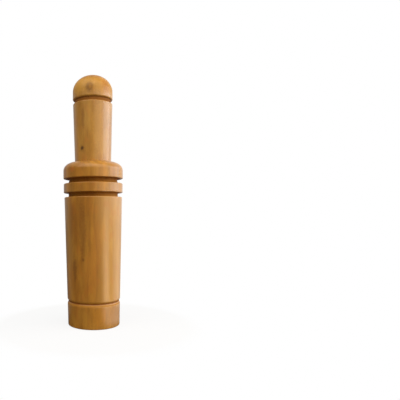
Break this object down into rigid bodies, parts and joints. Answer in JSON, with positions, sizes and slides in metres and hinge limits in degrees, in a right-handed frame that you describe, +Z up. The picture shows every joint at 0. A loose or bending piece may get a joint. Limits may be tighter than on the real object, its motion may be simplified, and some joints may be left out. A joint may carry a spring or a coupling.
{
  "type": "bird call",
  "caption": "Turned wooden bird call: a grooved tapered barrel, a domed push-in mouthpiece with a corked tenon, and a brass reed wedged in a wooden plug.",
  "frame": {"origin": "centre of the foot, on the surface that the call stands on", "axes": "+Z up along the axis of the call, from the foot to the mouthpiece; -Y is the front; the trough of the reed unit is on the -Y side of the reed"},
  "size_m": [0.029, 0.029, 0.12],
  "materials": {
    "turned_wood": "fine close-grained honey-coloured hardwood under a satin varnish",
    "plain_wood": "bare close-grained hardwood",
    "cork": "sheet cork, waxed",
    "brass": "thin rolled brass, slightly tarnished"
  },
  "bodies": {
    "barrel": {"barrel": "turned_wood"},
    "mouthpiece": {"mouthpiece": "turned_wood", "tenon_cork": "cork"},
    "reed_unit": {"reed_plug": "plain_wood", "reed_trough": "brass", "reed_heel": "brass"},
    "reed_tongue": {"reed_tongue": "brass"},
    "reed_wedge": {"reed_wedge": "plain_wood"}
  },
  "joints": [
    {"name": "mouthpiece_pull", "type": "slide", "parent": "barrel", "child": "mouthpiece", "axis": [0, 0, 1], "range_m": [0, 0.088]},
    {"name": "reed_unit_draw", "type": "slide", "parent": "mouthpiece", "child": "reed_unit", "axis": [0, 0, -1], "range_m": [0, 0.038]},
    {"name": "reed_beat", "type": "hinge", "parent": "reed_unit", "child": "reed_tongue", "pos_m": [0, 0.00015, 0.07245], "axis": [1, 0, 0], "range_deg": [-2.4, 2.4], "stiffness_Nm_per_rad": 0.16},
    {"name": "wedge_draw", "type": "slide", "parent": "reed_unit", "child": "reed_wedge", "axis": [0, 0, -1], "range_m": [0, 0.018]}
  ]
}
